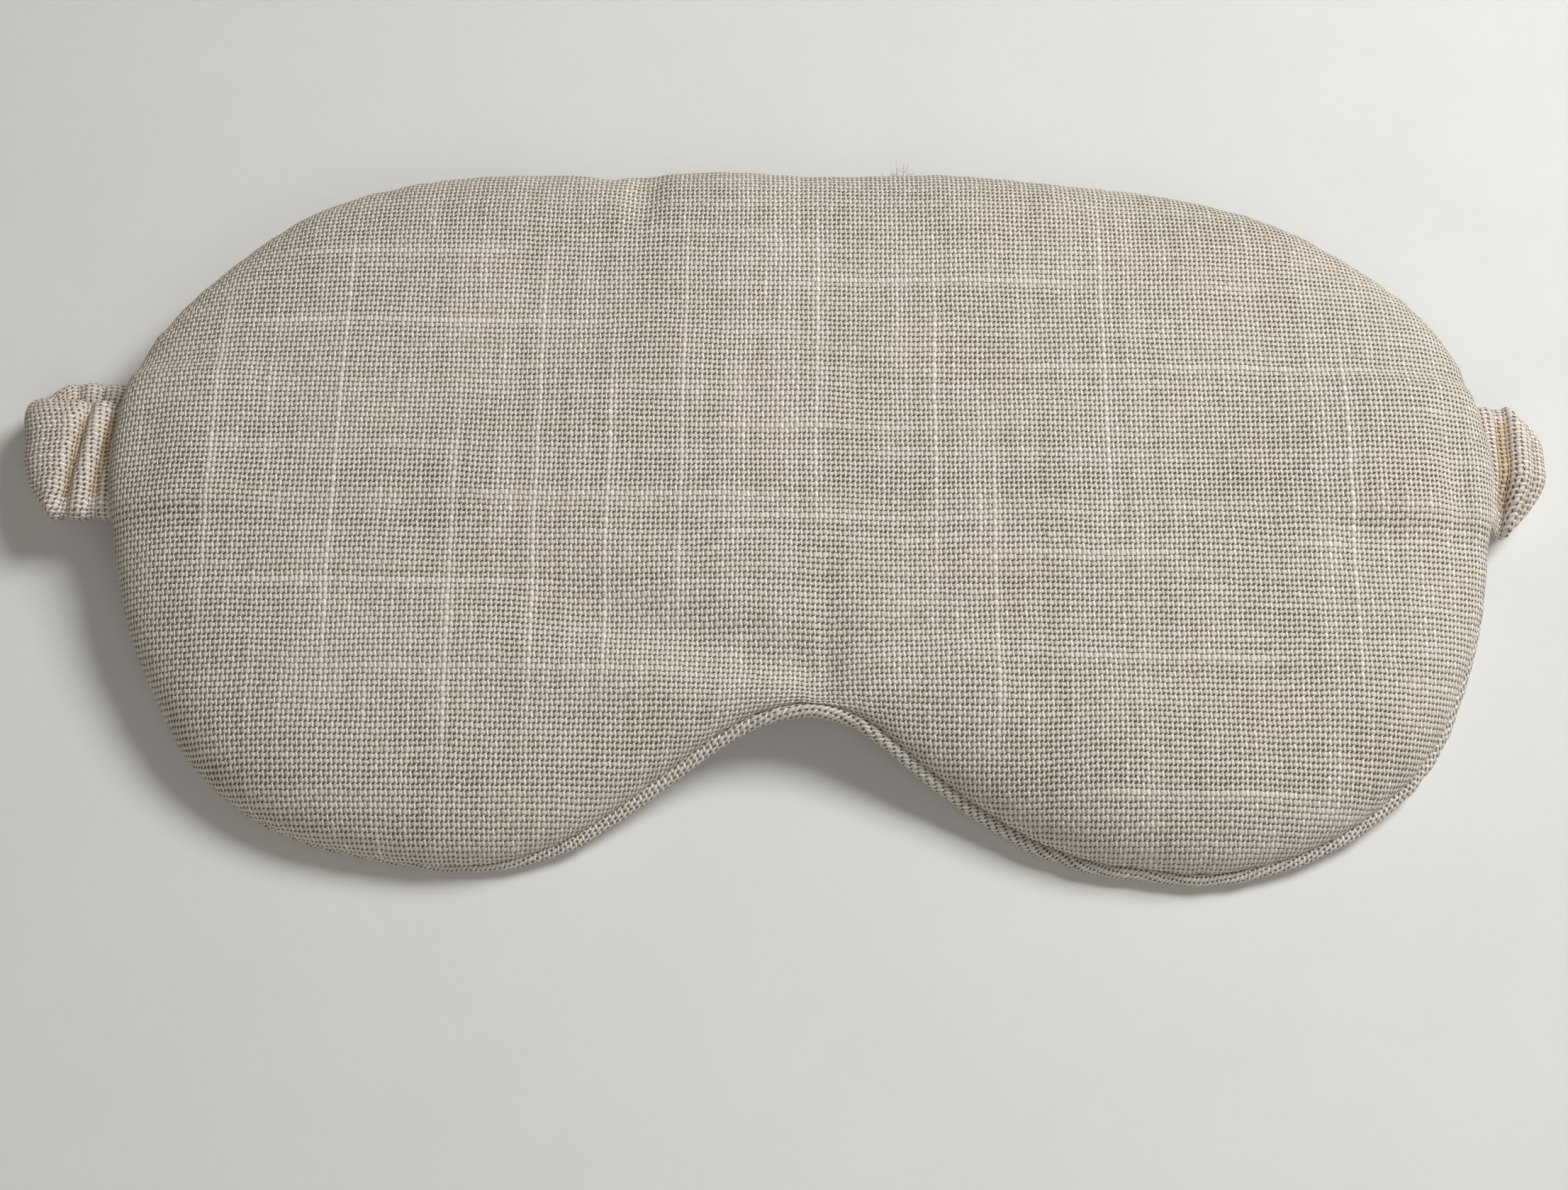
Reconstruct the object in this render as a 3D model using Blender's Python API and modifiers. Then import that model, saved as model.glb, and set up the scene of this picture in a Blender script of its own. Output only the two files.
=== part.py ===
"""A padded linen sleep mask, lying face up on the flat run of its own ruched elastic strap.

X runs across the mask, +Y towards its top edge and +Z out of its front. z = 0 is the table.
The origin is the centre of the whole object's footprint, so the mask's own centre sits beside it.
"""

import math

import bpy
import numpy as np

MM = 0.001

# The mask's seam line seen from the front, in mm round MASK_CENTRE. It was cut and sewn by
# hand, so its halves differ by about a millimetre. The notch for the nose is at (1, -31).
SEAM_KNOTS_MM = (
    (105, 2), (101.5, 27.5), (84, 46.3), (60, 55.2), (30, 57.9), (0, 58.5),
    (-30, 58.5), (-60, 57), (-85, 46.8), (-102, 25.5), (-104.8, -1), (-97, -26),
    (-80, -45.2), (-55, -53.6), (-36, -51.6), (-20, -41.6), (-8, -33.7), (1, -31),
    (9.5, -33), (21, -42), (38, -52.1), (58, -55), (82, -46.2), (98, -28),
)
MASK_CENTRE = (2.63 * MM, -1.94 * MM, 0)
NOTCH_HALF_WIDTH = 18 * MM
SEAM_POINTS = 72
FINE_POINTS = 1200

# Cloth and filling.
LINEN_THICKNESS = 0.5 * MM
FRONT_RISE = 6.5 * MM
FRONT_SHOULDER = 17 * MM
BACK_RISE = 5.0 * MM
BACK_SHOULDER = 12 * MM
SEAM_HALF_GAP = 0.25 * MM
CLEARANCE = 0.35 * MM
SEAM_ALLOWANCE = 6.3 * MM
PARTING_FADE = 5 * MM

# The rings that a panel is made of run from its edge in to a short spine.
SPINE_REACH = 0.45
SPINE_Y = 9 * MM
PANEL_RINGS = (0, 0.012, 0.04, 0.09, 0.18, 0.32, 0.55, 0.85)
WADDING_RINGS = (0, 0.1, 0.26, 0.5, 0.85)

# The strap: a linen tube gathered over a flat elastic band.
STRAP_WIDTH = 21.5 * MM
STRAP_THICKNESS = 4.0 * MM
STRAP_TAIL_THICKNESS = 3.0 * MM
STRAP_Y = 9.6 * MM
LEFT_LOOP_REACH = 12.5 * MM
RIGHT_LOOP_REACH = 7.2 * MM
STRAP_TAIL = 5.5 * MM
ELASTIC_WIDTH = 17 * MM
ELASTIC_THICKNESS = 1.0 * MM

# Sewing threads.
THREAD_RADIUS = 0.15 * MM
SEAM_THREAD_INSET = 1.4 * MM
CASING_THREAD_Y = 9.3 * MM
ANCHOR_RADIUS = 0.25 * MM
ANCHOR_INSET = 4.5 * MM
CLOSING_STITCH = 2.0 * MM
CLOSING_CENTRE_X = 15 * MM
CLOSING_COUNT = 12

# Where the mask is draped over the strap: its lobes lie on the table, its top half on the strap.
LOBE_SEAM_Z = SEAM_HALF_GAP + BACK_RISE + LINEN_THICKNESS / 2
STRAP_LIFT = STRAP_THICKNESS + CLEARANCE
DRAPE_FROM_Y = -32 * MM
DRAPE_TO_Y = -4 * MM
STRAP_SEAM_Z = LOBE_SEAM_Z + STRAP_LIFT


def clear_scene():
    for obj in list(bpy.data.objects):
        bpy.data.objects.remove(obj, do_unlink=True)


def smoothstep(low, high, value):
    t = np.clip((value - low) / (high - low), 0, 1)
    return t * t * (3 - 2 * t)


def smooth_loop(knots):
    """Points close together on the closed Catmull-Rom curve through the knots."""
    b = np.array(knots, float)
    a, c, d = np.roll(b, 1, axis=0), np.roll(b, -1, axis=0), np.roll(b, -2, axis=0)
    t = np.linspace(0, 1, 20, endpoint=False)[:, None, None]
    curve = b + t * (c - a) / 2 + t**2 * (a - 2.5 * b + 2 * c - d / 2)
    curve = curve + t**3 * (1.5 * (b - c) + (d - a) / 2)
    return curve.transpose(1, 0, 2).reshape(-1, 2)


def off_strap_edge(points):
    """How far each point lies from the nearer long edge of the strap, seen from the front."""
    return np.abs(np.abs(points[:, 1] - STRAP_Y) - STRAP_WIDTH / 2)


def resampled(loop, count, crowding):
    """Points along the closed loop, (1 + crowding) times closer at the strap and the notch."""
    closed = np.vstack([loop, loop[:1]])
    steps = np.linalg.norm(np.diff(closed, axis=0), axis=1)
    at_strap = off_strap_edge(loop) < PARTING_FADE
    in_notch = (np.abs(loop[:, 0]) < NOTCH_HALF_WIDTH) & (loop[:, 1] < 0)
    steps *= 1 + crowding * (at_strap | in_notch)
    run = np.concatenate([[0], np.cumsum(steps)])
    at = np.linspace(0, run[-1], count, endpoint=False)
    return np.column_stack([np.interp(at, run, closed[:, k]) for k in (0, 1)])


SEAM_LINE_FINE = resampled(smooth_loop(np.array(SEAM_KNOTS_MM) * MM), FINE_POINTS, 0)
SEAM_LINE = resampled(SEAM_LINE_FINE, SEAM_POINTS, 2)


def inset(loop, distance):
    """The counter-clockwise loop moved inwards, or outwards for a negative distance."""
    along = np.roll(loop, -1, axis=0) - np.roll(loop, 1, axis=0)
    along /= np.linalg.norm(along, axis=1)[:, None]
    return loop + distance * np.column_stack([-along[:, 1], along[:, 0]])


def depth_inside(points):
    """How far each point lies inside the seam line."""
    gaps = np.linalg.norm(points[:, None] - SEAM_LINE_FINE[None], axis=2)
    return gaps.min(axis=1)


def seam_height(y):
    return LOBE_SEAM_Z + STRAP_LIFT * smoothstep(DRAPE_FROM_Y, DRAPE_TO_Y, y)


def seam_parting(points):
    """How far each panel's edge stands off the seam plane to let a strap end in."""
    beyond = np.abs(points[:, 1] - STRAP_Y) - STRAP_WIDTH / 2
    beside = 1 - smoothstep(PARTING_FADE / 2, PARTING_FADE * 1.5, beyond)
    at_sides = smoothstep(70 * MM, 90 * MM, np.abs(points[:, 0]))
    return (STRAP_TAIL_THICKNESS / 2 + CLEARANCE - SEAM_HALF_GAP) * beside * at_sides


def puff(depth, rise, shoulder):
    """A quarter ellipse from the seam up to the flat of the pad."""
    return rise * np.sqrt(1 - (1 - np.minimum(depth, shoulder) / shoulder) ** 2)


def panel_height(points, side):
    """The middle of a panel's cloth above or below the table; side is 1 in front, -1 behind."""
    depth = depth_inside(points)
    parting = seam_parting(points) * (1 - smoothstep(0, 9 * MM, depth))
    if side > 0:
        rise = puff(depth, FRONT_RISE, FRONT_SHOULDER)
    else:
        rise = puff(depth, BACK_RISE, BACK_SHOULDER)
    return seam_height(points[:, 1]) + side * (SEAM_HALF_GAP + parting + rise)


def towards_spine(loop, share):
    spine = np.column_stack([loop[:, 0] * SPINE_REACH, np.full(len(loop), SPINE_Y)])
    return loop + share * (spine - loop)


def with_height(points, heights):
    return np.column_stack([points, heights])


def loft(rings, cap_start, cap_end):
    """Vertices and faces of the skin over closed rings of equal length."""
    count = len(rings[0])
    faces = []
    for ring in range(len(rings) - 1):
        low, high = ring * count, (ring + 1) * count
        for i in range(count):
            j = (i + 1) % count
            faces.append((low + i, low + j, high + j, high + i))
    if cap_start:
        faces.append(tuple(reversed(range(count))))
    if cap_end:
        last = (len(rings) - 1) * count
        faces.append(tuple(range(last, last + count)))
    return np.vstack(rings), faces


def material(name, colour, roughness):
    made = bpy.data.materials.new(name)
    made.use_nodes = True
    shader = made.node_tree.nodes["Principled BSDF"]
    shader.inputs["Base Color"].default_value = (*colour, 1)
    shader.inputs["Roughness"].default_value = roughness
    shader.inputs["Metallic"].default_value = 0
    made.diffuse_color = (*colour, 1)
    return made


def place(obj, parts, mask, finish):
    obj.data.materials.append(finish)
    obj.parent = mask
    parts.objects.link(obj)
    return obj


def mesh_object(name, skin, parts, mask, finish):
    vertices, faces = skin
    mesh = bpy.data.meshes.new(name)
    mesh.from_pydata([tuple(v) for v in vertices], [], faces)
    mesh.shade_smooth()
    return place(bpy.data.objects.new(name, mesh), parts, mask, finish)


def solidify(obj, thickness, offset):
    wall = obj.modifiers.new("Wall", "SOLIDIFY")
    wall.thickness = thickness
    wall.offset = offset
    wall.use_even_offset = True


def tube(name, path, radius, cyclic, parts, mask, finish):
    """A six-sided thread along a polyline."""
    curve = bpy.data.curves.new(name, "CURVE")
    curve.dimensions = "3D"
    curve.bevel_depth = radius
    curve.bevel_resolution = 1
    curve.use_fill_caps = not cyclic
    spline = curve.splines.new("POLY")
    spline.points.add(len(path) - 1)
    for point, place_at in zip(spline.points, path):
        point.co = (*place_at, 1)
    spline.use_cyclic_u = cyclic
    return place(bpy.data.objects.new(name, curve), parts, mask, finish)


def make_panel(name, side, parts, mask, finish):
    """A linen shell from the seam line inwards, puffed by the wadding behind it."""
    rings = [towards_spine(SEAM_LINE, share) for share in PANEL_RINGS]
    rings = [with_height(ring, panel_height(ring, side)) for ring in rings]
    if side < 0:
        rings = [ring[::-1] for ring in rings]
    panel = mesh_object(name, loft(rings, False, True), parts, mask, finish)
    solidify(panel, LINEN_THICKNESS, 0)


def make_wadding(name, side, parts, mask, finish):
    """One layer of batting, cut back to clear the seam allowance."""
    edge = inset(SEAM_LINE, SEAM_ALLOWANCE)
    flat, puffed = [], []
    for share in WADDING_RINGS:
        ring = towards_spine(edge, share)
        middle = seam_height(ring[:, 1]) + side * CLEARANCE
        cloth = panel_height(ring, side) - side * (LINEN_THICKNESS / 2 + 2 * CLEARANCE)
        flat.append(with_height(ring, middle))
        puffed.append(with_height(ring, cloth))
    rings = flat[::-1] + puffed
    if side < 0:
        rings = [ring[::-1] for ring in rings]
    mesh_object(name, loft(rings, True, True), parts, mask, finish)


def strap_turn(side):
    """The U-turn at one end: its centre, and the x where the seam line crosses the strap."""
    radius = (STRAP_SEAM_Z - STRAP_THICKNESS / 2) / 2
    reach = RIGHT_LOOP_REACH if side > 0 else LEFT_LOOP_REACH
    at_strap = np.abs(SEAM_LINE_FINE[:, 1] - STRAP_Y) < 1 * MM
    on_side = at_strap & (SEAM_LINE_FINE[:, 0] * side > 0)
    seam_x = SEAM_LINE_FINE[on_side, 0].mean()
    centre_x = seam_x + side * (reach - STRAP_THICKNESS / 2 - radius)
    return centre_x, STRAP_THICKNESS / 2 + radius, radius, seam_x


def strap_end(side):
    """Middle line (x, z) and half thickness from the tail inside the seam round to the table."""
    centre_x, centre_z, radius, seam_x = strap_turn(side)
    tail_x = seam_x - side * STRAP_TAIL
    half_tail, half = STRAP_TAIL_THICKNESS / 2, STRAP_THICKNESS / 2
    rows = [(tail_x, STRAP_SEAM_Z, half_tail), (seam_x, STRAP_SEAM_Z, half_tail)]
    for step in range(9):
        angle = math.pi * (0.5 - step / 8)
        thick = half_tail + (half - half_tail) * min(1, step / 3)
        x = centre_x + side * radius * math.cos(angle)
        rows.append((x, centre_z + radius * math.sin(angle), thick))
    return rows


def strap_rows():
    """The strap's whole middle line, left tail to right tail."""
    left, right = strap_end(-1), strap_end(1)
    half = STRAP_THICKNESS / 2
    middle = [(x, half, half) for x in np.linspace(left[-1][0], right[-1][0], 8)[1:-1]]
    return np.array(left + middle + right[::-1])


def across_rows(rows):
    """The direction through the strap's thickness at each row, to the left of its travel."""
    along = np.gradient(rows[:, :2], axis=0)
    along /= np.linalg.norm(along, axis=1)[:, None]
    return np.column_stack([-along[:, 1], along[:, 0]])


def sweep(rows, section):
    """Rings of section(half_thickness) points (y, through) carried along the strap."""
    rings = []
    for (x, z, half), (nx, nz) in zip(rows, across_rows(rows)):
        y, through = section(half).T
        rings.append(np.column_stack([x + through * nx, STRAP_Y + y, z + through * nz]))
    return rings


def round_edged(half_width, half):
    """A flat band's section with half-round edges, as (y, through)."""
    angles = np.radians(np.arange(-90, 91, 30))
    straight = half_width - half
    right = np.column_stack([straight + half * np.cos(angles), half * np.sin(angles)])
    return np.vstack([right, -right])


def make_strap(parts, mask, finishes):
    rows = strap_rows()

    def casing_section(half):
        return round_edged(STRAP_WIDTH / 2, half)

    def elastic_section(_):
        y, through = ELASTIC_WIDTH / 2, ELASTIC_THICKNESS / 2
        return np.array([(y, -through), (y, through), (-y, through), (-y, -through)])

    casing_skin = loft(sweep(rows, casing_section), False, False)
    casing = mesh_object("strap_casing", casing_skin, parts, mask, finishes["strap_linen"])
    solidify(casing, LINEN_THICKNESS, -1)
    band_skin = loft(sweep(rows, elastic_section), True, True)
    mesh_object("elastic_band", band_skin, parts, mask, finishes["elastic"])
    seam = [(x, STRAP_Y - CASING_THREAD_Y, z) for x, z, _ in rows]
    tube("casing_seam_thread", seam, THREAD_RADIUS, False, parts, mask, finishes["thread"])


def make_seam_thread(name, side, parts, mask, finish):
    """One of the lockstitch threads that close the seam, lifted over or under the strap ends."""
    line = inset(SEAM_LINE, SEAM_THREAD_INSET)
    stand_off = SEAM_HALF_GAP + THREAD_RADIUS + seam_parting(line)
    path = with_height(line, seam_height(line[:, 1]) + side * stand_off)
    tube(name, path, THREAD_RADIUS, True, parts, mask, finish)


def make_anchor_stitches(name, side, parts, mask, finish):
    """The bar of stitches wrapped round a strap end just inside the seam."""
    x = strap_turn(side)[3] - side * ANCHOR_INSET
    off = CLEARANCE + ANCHOR_RADIUS
    loop = round_edged(STRAP_WIDTH / 2 + off, STRAP_TAIL_THICKNESS / 2 + off)
    path = [(x, STRAP_Y + y, STRAP_SEAM_Z + z) for y, z in loop]
    tube(name, path, ANCHOR_RADIUS, True, parts, mask, finish)


def make_closing_stitches(parts, mask, finish):
    """The hand-sewn slip stitches over the gap the mask was turned out through."""
    outside = inset(SEAM_LINE_FINE, -(LINEN_THICKNESS / 2 + CLEARANCE + THREAD_RADIUS))
    top = outside[outside[:, 1] > 0.05]
    top = top[np.argsort(top[:, 0])]
    path = []
    for step in range(CLOSING_COUNT + 1):
        x = CLOSING_CENTRE_X + (step - CLOSING_COUNT / 2) * CLOSING_STITCH
        y = np.interp(x, top[:, 0], top[:, 1])
        path.append((x, y, STRAP_SEAM_Z + (-1) ** step * 0.9 * MM))
    tube("closing_stitches", path, THREAD_RADIUS, False, parts, mask, finish)


def make_finishes():
    return {
        "front_linen": material("front_linen", (0.62, 0.56, 0.47), 0.9),
        "back_linen": material("back_linen", (0.56, 0.54, 0.49), 0.9),
        "strap_linen": material("strap_linen", (0.64, 0.57, 0.47), 0.9),
        "wadding": material("wadding", (0.85, 0.85, 0.83), 0.95),
        "elastic": material("elastic", (0.8, 0.79, 0.75), 0.7),
        "thread": material("thread", (0.72, 0.67, 0.58), 0.6),
    }


def main():
    clear_scene()
    parts = bpy.data.collections.new("Sleep_Mask")
    bpy.context.scene.collection.children.link(parts)
    mask = bpy.data.objects.new("mask_centre", None)
    mask.location = MASK_CENTRE
    parts.objects.link(mask)
    finishes = make_finishes()
    make_panel("front_panel", 1, parts, mask, finishes["front_linen"])
    make_panel("back_panel", -1, parts, mask, finishes["back_linen"])
    make_wadding("front_wadding", 1, parts, mask, finishes["wadding"])
    make_wadding("back_wadding", -1, parts, mask, finishes["wadding"])
    make_strap(parts, mask, finishes)
    make_seam_thread("seam_needle_thread", 1, parts, mask, finishes["thread"])
    make_seam_thread("seam_bobbin_thread", -1, parts, mask, finishes["thread"])
    make_anchor_stitches("left_anchor_stitches", -1, parts, mask, finishes["thread"])
    make_anchor_stitches("right_anchor_stitches", 1, parts, mask, finishes["thread"])
    make_closing_stitches(parts, mask, finishes["thread"])


main()
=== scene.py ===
"""The looks of a padded linen sleep mask lying face up on its own ruched strap.

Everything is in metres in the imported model's frame: +Z up, z = 0 on the table. The pad's outline
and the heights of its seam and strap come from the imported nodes. The cloth is mapped with its
flat-pattern coordinates in millimetres, so that the weave runs round the edges as real linen does.
"""

import math

import bpy
import numpy as np
from mathutils import Matrix, Vector


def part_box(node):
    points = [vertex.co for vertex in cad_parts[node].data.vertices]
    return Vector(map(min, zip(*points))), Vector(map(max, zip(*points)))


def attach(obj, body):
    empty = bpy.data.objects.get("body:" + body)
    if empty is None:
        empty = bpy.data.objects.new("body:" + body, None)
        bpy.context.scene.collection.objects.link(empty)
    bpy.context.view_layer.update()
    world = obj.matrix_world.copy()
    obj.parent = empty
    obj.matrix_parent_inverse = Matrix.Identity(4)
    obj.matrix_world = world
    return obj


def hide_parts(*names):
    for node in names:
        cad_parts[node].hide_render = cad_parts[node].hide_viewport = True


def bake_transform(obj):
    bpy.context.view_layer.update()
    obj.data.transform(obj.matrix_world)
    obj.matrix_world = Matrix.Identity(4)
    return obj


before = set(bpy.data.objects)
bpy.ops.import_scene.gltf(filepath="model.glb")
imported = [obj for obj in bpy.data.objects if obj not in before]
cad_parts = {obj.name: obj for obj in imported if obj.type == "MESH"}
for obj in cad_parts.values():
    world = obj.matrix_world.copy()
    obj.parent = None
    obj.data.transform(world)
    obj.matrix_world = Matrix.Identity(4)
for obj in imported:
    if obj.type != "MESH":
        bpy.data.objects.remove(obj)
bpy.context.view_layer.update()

MM = 0.001

# The pad's mesh: points round each half of the outline, and the parts of its cross-section. The
# ring EDGE_RING is the first one past the seam allowance's two and the lip's.
OUTLINE_SAMPLES = 1440
OUTLINE_SOFTENING = 2.2 * MM
HALF_POINTS = 260
NOTCH_CROWDING = 0.9
LIP_STEPS = 7
EDGE_RING = LIP_STEPS + 2
EDGE_ANGLES = np.radians([0, 7, 14, 21, 28, 35, 41, 46])
SPINE_SHARES = np.linspace(0, 0.97, 30)[1:] ** 1.12
SPINE_REACH = 0.45
SPINE_Y = 8 * MM

# Cloth and seams.
CLOTH = 0.45 * MM
SEAM_GAP = 0.06 * MM
LIP_RADIUS = 0.7 * MM
ALLOWANCE = 4.6 * MM
FRONT_HEIGHT = 7.6 * MM
FRONT_SHOULDER = 16 * MM
FRONT_LEVEL = 0.45
NOTCH_THINNING = 3.0 * MM
BACK_HEIGHT = 5.5 * MM
BACK_SHOULDER = 12 * MM
EDGE_FULLNESS = 0.88
DOME_REACH = 42 * MM
PUCKER_HEIGHT = 0.16 * MM
PUCKER_DEPTH = 0.12 * MM
PUCKER_FADE = 3.5 * MM
FILLING_GAP = 0.3 * MM

THREAD_RADIUS = 0.15 * MM
LOCKSTITCH = 2.6 * MM
LOCKSTITCH_INSET = 1.5 * MM

# The lobes lie on the table, and the top half is lifted by the strap under it.
DRAPE_FROM_Y = -56 * MM
DRAPE_TO_Y = -2 * MM
LOBE_SAG = 2.9 * MM
NOSE_ARCH = 6.0 * MM
STRAP_PARTING = 1.65 * MM

# Where the stuffing pushes the sewn edge out, or a seam or the strap pulls it in: a place, how far
# along the edge the pull reaches, and how far it moves the edge outward, all in mm.
EDGE_PULLS = (
    (4, -34, 13, 0.2), (-80, -46, 17, 1.3), (84, -49, 19, 1.1), (54, -57, 6, -0.7),
    (-88, 40, 12, -0.9), (-102, -7, 11, -0.8), (88, 43, 14, -0.8), (107, 17, 7, -1.0),
    (107.5, -4, 9, -0.7), (26, 56.5, 14, 1.0), (-10, 57, 9, 0.8), (-28, 57, 3.5, -0.8),
    (9, -36, 14, 0.7), (46, -56, 15, -0.6), (-54, -55, 14, -0.45), (96, -38, 9, 0.65),
    (-88, -39, 8, 0.5),
)

# The strap.
STRAP_HALF_WIDTH = 9.4 * MM
STRAP_FRILL = 1.6 * MM
STRAP_HALF = 2.0 * MM
LOOP_HALF = 2.6 * MM
STRAP_TAIL_HALF = 1.45 * MM
STRAP_VALLEY_HALF = 1.05 * MM
STRAP_TAIL = 5.5 * MM
GATHER_PITCH = 3.5 * MM
CREASE_FLOOR = 0.06
CASING_WALL = 0.4 * MM
STRAP_BED_Z = STRAP_HALF + CASING_WALL
STRAP_FLAT_POINTS = 26
STRAP_EDGE_POINTS = 8
LOOP_STEP = 0.26 * MM
STRAP_STEP = 0.5 * MM
ELASTIC_WIDTH = 14.6 * MM
ELASTIC_HALF = 0.5 * MM
ELASTIC_POINTS = 13
ELASTIC_STEP = 1.0 * MM
ELASTIC_RIB = 0.06 * MM
CASING_SEAM_Y = -7.4 * MM
CASING_STITCH = 2.6 * MM
CASING_STITCH_DIP = 0.35 * MM

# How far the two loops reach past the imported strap's ends.
LOOP_REACH = 2.1 * MM

# How boxy the loops are: 1 gives a half circle, and a lower value flatter sides.
LOOP_SQUARENESS = 0.75

# The two loops, left and right, in mm. "valleys" are how far out the gathers' valleys lie where
# they show on the loop, "depths" the share of a gather's height that each one cuts down, and
# "floors" how much of the gather its floor takes up. "below" is where the next valley comes, past
# the outermost point. "skew" is how far the strap's middle is shifted at the seam and at the end
# of the bend. "lean" is the gathers' slope, and "droop" how far the upper layer's lower edge hangs.
LOOPS = {
    -1: {
        "valleys": (103.9, 108.2, 112.6), "depths": (1.0, 1.0, 0.15), "floors": (0.34, 0.30, 0.10),
        "below": 2.8, "skew": (-1.1, 5.6), "lean": 0.13, "droop": 0.6,
    },
    1: {
        "valleys": (105.2, 110.0, 114.4), "depths": (1.0, 1.0, 0.5), "floors": (0.06, 0.50, 0.16),
        "below": 3.0, "skew": (0.3, 2.2), "lean": -0.03, "droop": 6.5,
    },
}

# The linen's threads, in mm, because the flat-pattern coordinates are. The half widths, the drift
# and the shake are in yarn pitches.
WARP_PITCH = 0.72
WEFT_PITCH = 0.87
WARP_HALF = 0.212
WEFT_HALF = 0.288
YARN_DRIFT = 0.55
YARN_SHAKE = 0.15
YARN_SLANT = 0.24
SLUB_GROWTH = 0.07
# A painted highlight: how much lighter the warp yarns are drawn than the weft.
WARP_HIGHLIGHT = 0.17
WEAVE_RELIEF = 0.28 * MM

LINEN = (0.678, 0.625, 0.530)
BACK_LINEN = (0.665, 0.625, 0.545)
STRAP_LINEN = (0.715, 0.635, 0.545)
# Painted shade in the pinholes between the yarns.
HOLE_SHADE = (0.085, 0.062, 0.040)
# Painted warm shade in the strap's gathered grooves.
GROOVE_SHADE_TINT = (0.81, 0.69, 0.53)
THREAD_COLOUR = (0.74, 0.69, 0.60)

FUZZ_COUNT = 900
FUZZ_RADIUS = 0.016 * MM
TUFT_COUNT = 26
TUFT_RADIUS = 0.055 * MM
FIBRE_STEPS = 5

FLOOR_HALF_SIDE = 3.0


def smoothstep(low, high, value):
    t = np.clip((value - low) / (high - low), 0, 1)
    return t * t * (3 - 2 * t)


def bell(distance, width):
    return np.exp(-((distance / width) ** 2))


def ripple(position, wavelength, seed, waves=7):
    """A smooth random wave between about -1 and 1: along a line, or over places (..., 2)."""
    rng = np.random.default_rng(seed)
    total = 0
    for _ in range(waves):
        turn = rng.uniform(0, 2 * math.pi)
        run = position if position.ndim == 1 else position @ (math.cos(turn), math.sin(turn))
        pitch = wavelength * rng.uniform(0.7, 1.5)
        total = total + np.cos(run * 2 * math.pi / pitch + rng.uniform(0, 2 * math.pi))
    return total / math.sqrt(waves * 2)


# ---- the outline from the frame

def silhouette(node, centre, count):
    """A node's outline seen from above, at equal angles round a centre, counter-clockwise."""
    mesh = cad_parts[node].data
    points = np.array([v.co[:2] for v in mesh.vertices]) - centre
    edges = np.array([e.vertices[:] for e in mesh.edges])
    a, b = points[edges[:, 0]], points[edges[:, 1]]
    loop = []
    for angle in np.linspace(-math.pi, math.pi, count, endpoint=False):
        ray = np.array([math.cos(angle), math.sin(angle)])
        side_a, side_b = a @ [ray[1], -ray[0]], b @ [ray[1], -ray[0]]
        crossed = side_a * side_b < 0
        share = side_a[crossed] / (side_a[crossed] - side_b[crossed])
        reach = (a[crossed] + (b[crossed] - a[crossed]) * share[:, None]) @ ray
        loop.append(centre + ray * reach.max())
    return np.array(loop)


def run_of(points):
    """Distance along a polyline at each of its points."""
    steps = np.linalg.norm(np.diff(points, axis=0), axis=1)
    return np.concatenate([[0], np.cumsum(steps)])


def evened(points, count, crowding=None):
    """count points along a polyline, end left out, closer together where crowding is higher."""
    steps = np.diff(run_of(points))
    if crowding is not None:
        steps = steps * (1 + (crowding[1:] + crowding[:-1]) / 2)
    run = np.concatenate([[0], np.cumsum(steps)])
    at = np.linspace(0, run[-1], count, endpoint=False)
    return np.column_stack([np.interp(at, run, points[:, k]) for k in range(points.shape[1])])


def softened(loop, reach):
    """A closed, evenly spaced loop averaged along itself over a reach."""
    step = np.linalg.norm(loop - np.roll(loop, 1, axis=0), axis=1).mean()
    line = np.fft.fft(loop[:, 0] + 1j * loop[:, 1])
    line = np.fft.ifft(line * np.exp(-2 * (math.pi * np.fft.fftfreq(len(loop), step) * reach) ** 2))
    return np.column_stack([line.real, line.imag])


def inward(loop):
    """Unit vectors from a closed loop's points to its inside."""
    along = np.roll(loop, -1, axis=0) - np.roll(loop, 1, axis=0)
    along /= np.linalg.norm(along, axis=1)[:, None]
    return np.column_stack([-along[:, 1], along[:, 0]])


def edge_pull(points):
    """How far EDGE_PULLS move each point of the outline outward."""
    moved = 0
    for x, y, reach, amount in EDGE_PULLS:
        away = np.hypot(*(points / MM - (x, y)).T)
        moved = moved + amount * bell(away, reach)
    return moved * MM


def make_outline():
    """The smooth outline: it starts at the right end, and its left end is halfway round."""
    low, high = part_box("front_panel")
    centre = np.array([(low.x + high.x) / 2, SPINE_Y])
    rough = silhouette("front_panel", centre, OUTLINE_SAMPLES)
    fine = evened(np.vstack([rough, rough[:1]]), OUTLINE_SAMPLES)
    fine = softened(fine, OUTLINE_SOFTENING)
    fine = fine - inward(fine) * edge_pull(fine)[:, None]
    fine = np.roll(fine, -fine[:, 0].argmax(), axis=0)
    fine = np.vstack([fine, fine[:1]])
    left = fine[:, 0].argmin()
    crowd = NOTCH_CROWDING * bell(fine[:, 0] - centre[0], 24 * MM) * (fine[:, 1] < 0)
    upper = evened(fine[: left + 1], HALF_POINTS, crowd[: left + 1])
    lower = evened(fine[left:], HALF_POINTS, crowd[left:])
    return np.vstack([upper, lower])


OUTLINE = make_outline()
INWARD = inward(OUTLINE)
ALONG = run_of(np.vstack([OUTLINE, OUTLINE[:1]]))[:-1]
POINTS = len(OUTLINE)

in_notch = (np.abs(OUTLINE[:, 0]) < 20 * MM) & (OUTLINE[:, 1] < 0)
NOTCH = OUTLINE[in_notch][OUTLINE[in_notch][:, 1].argmax()]

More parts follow.
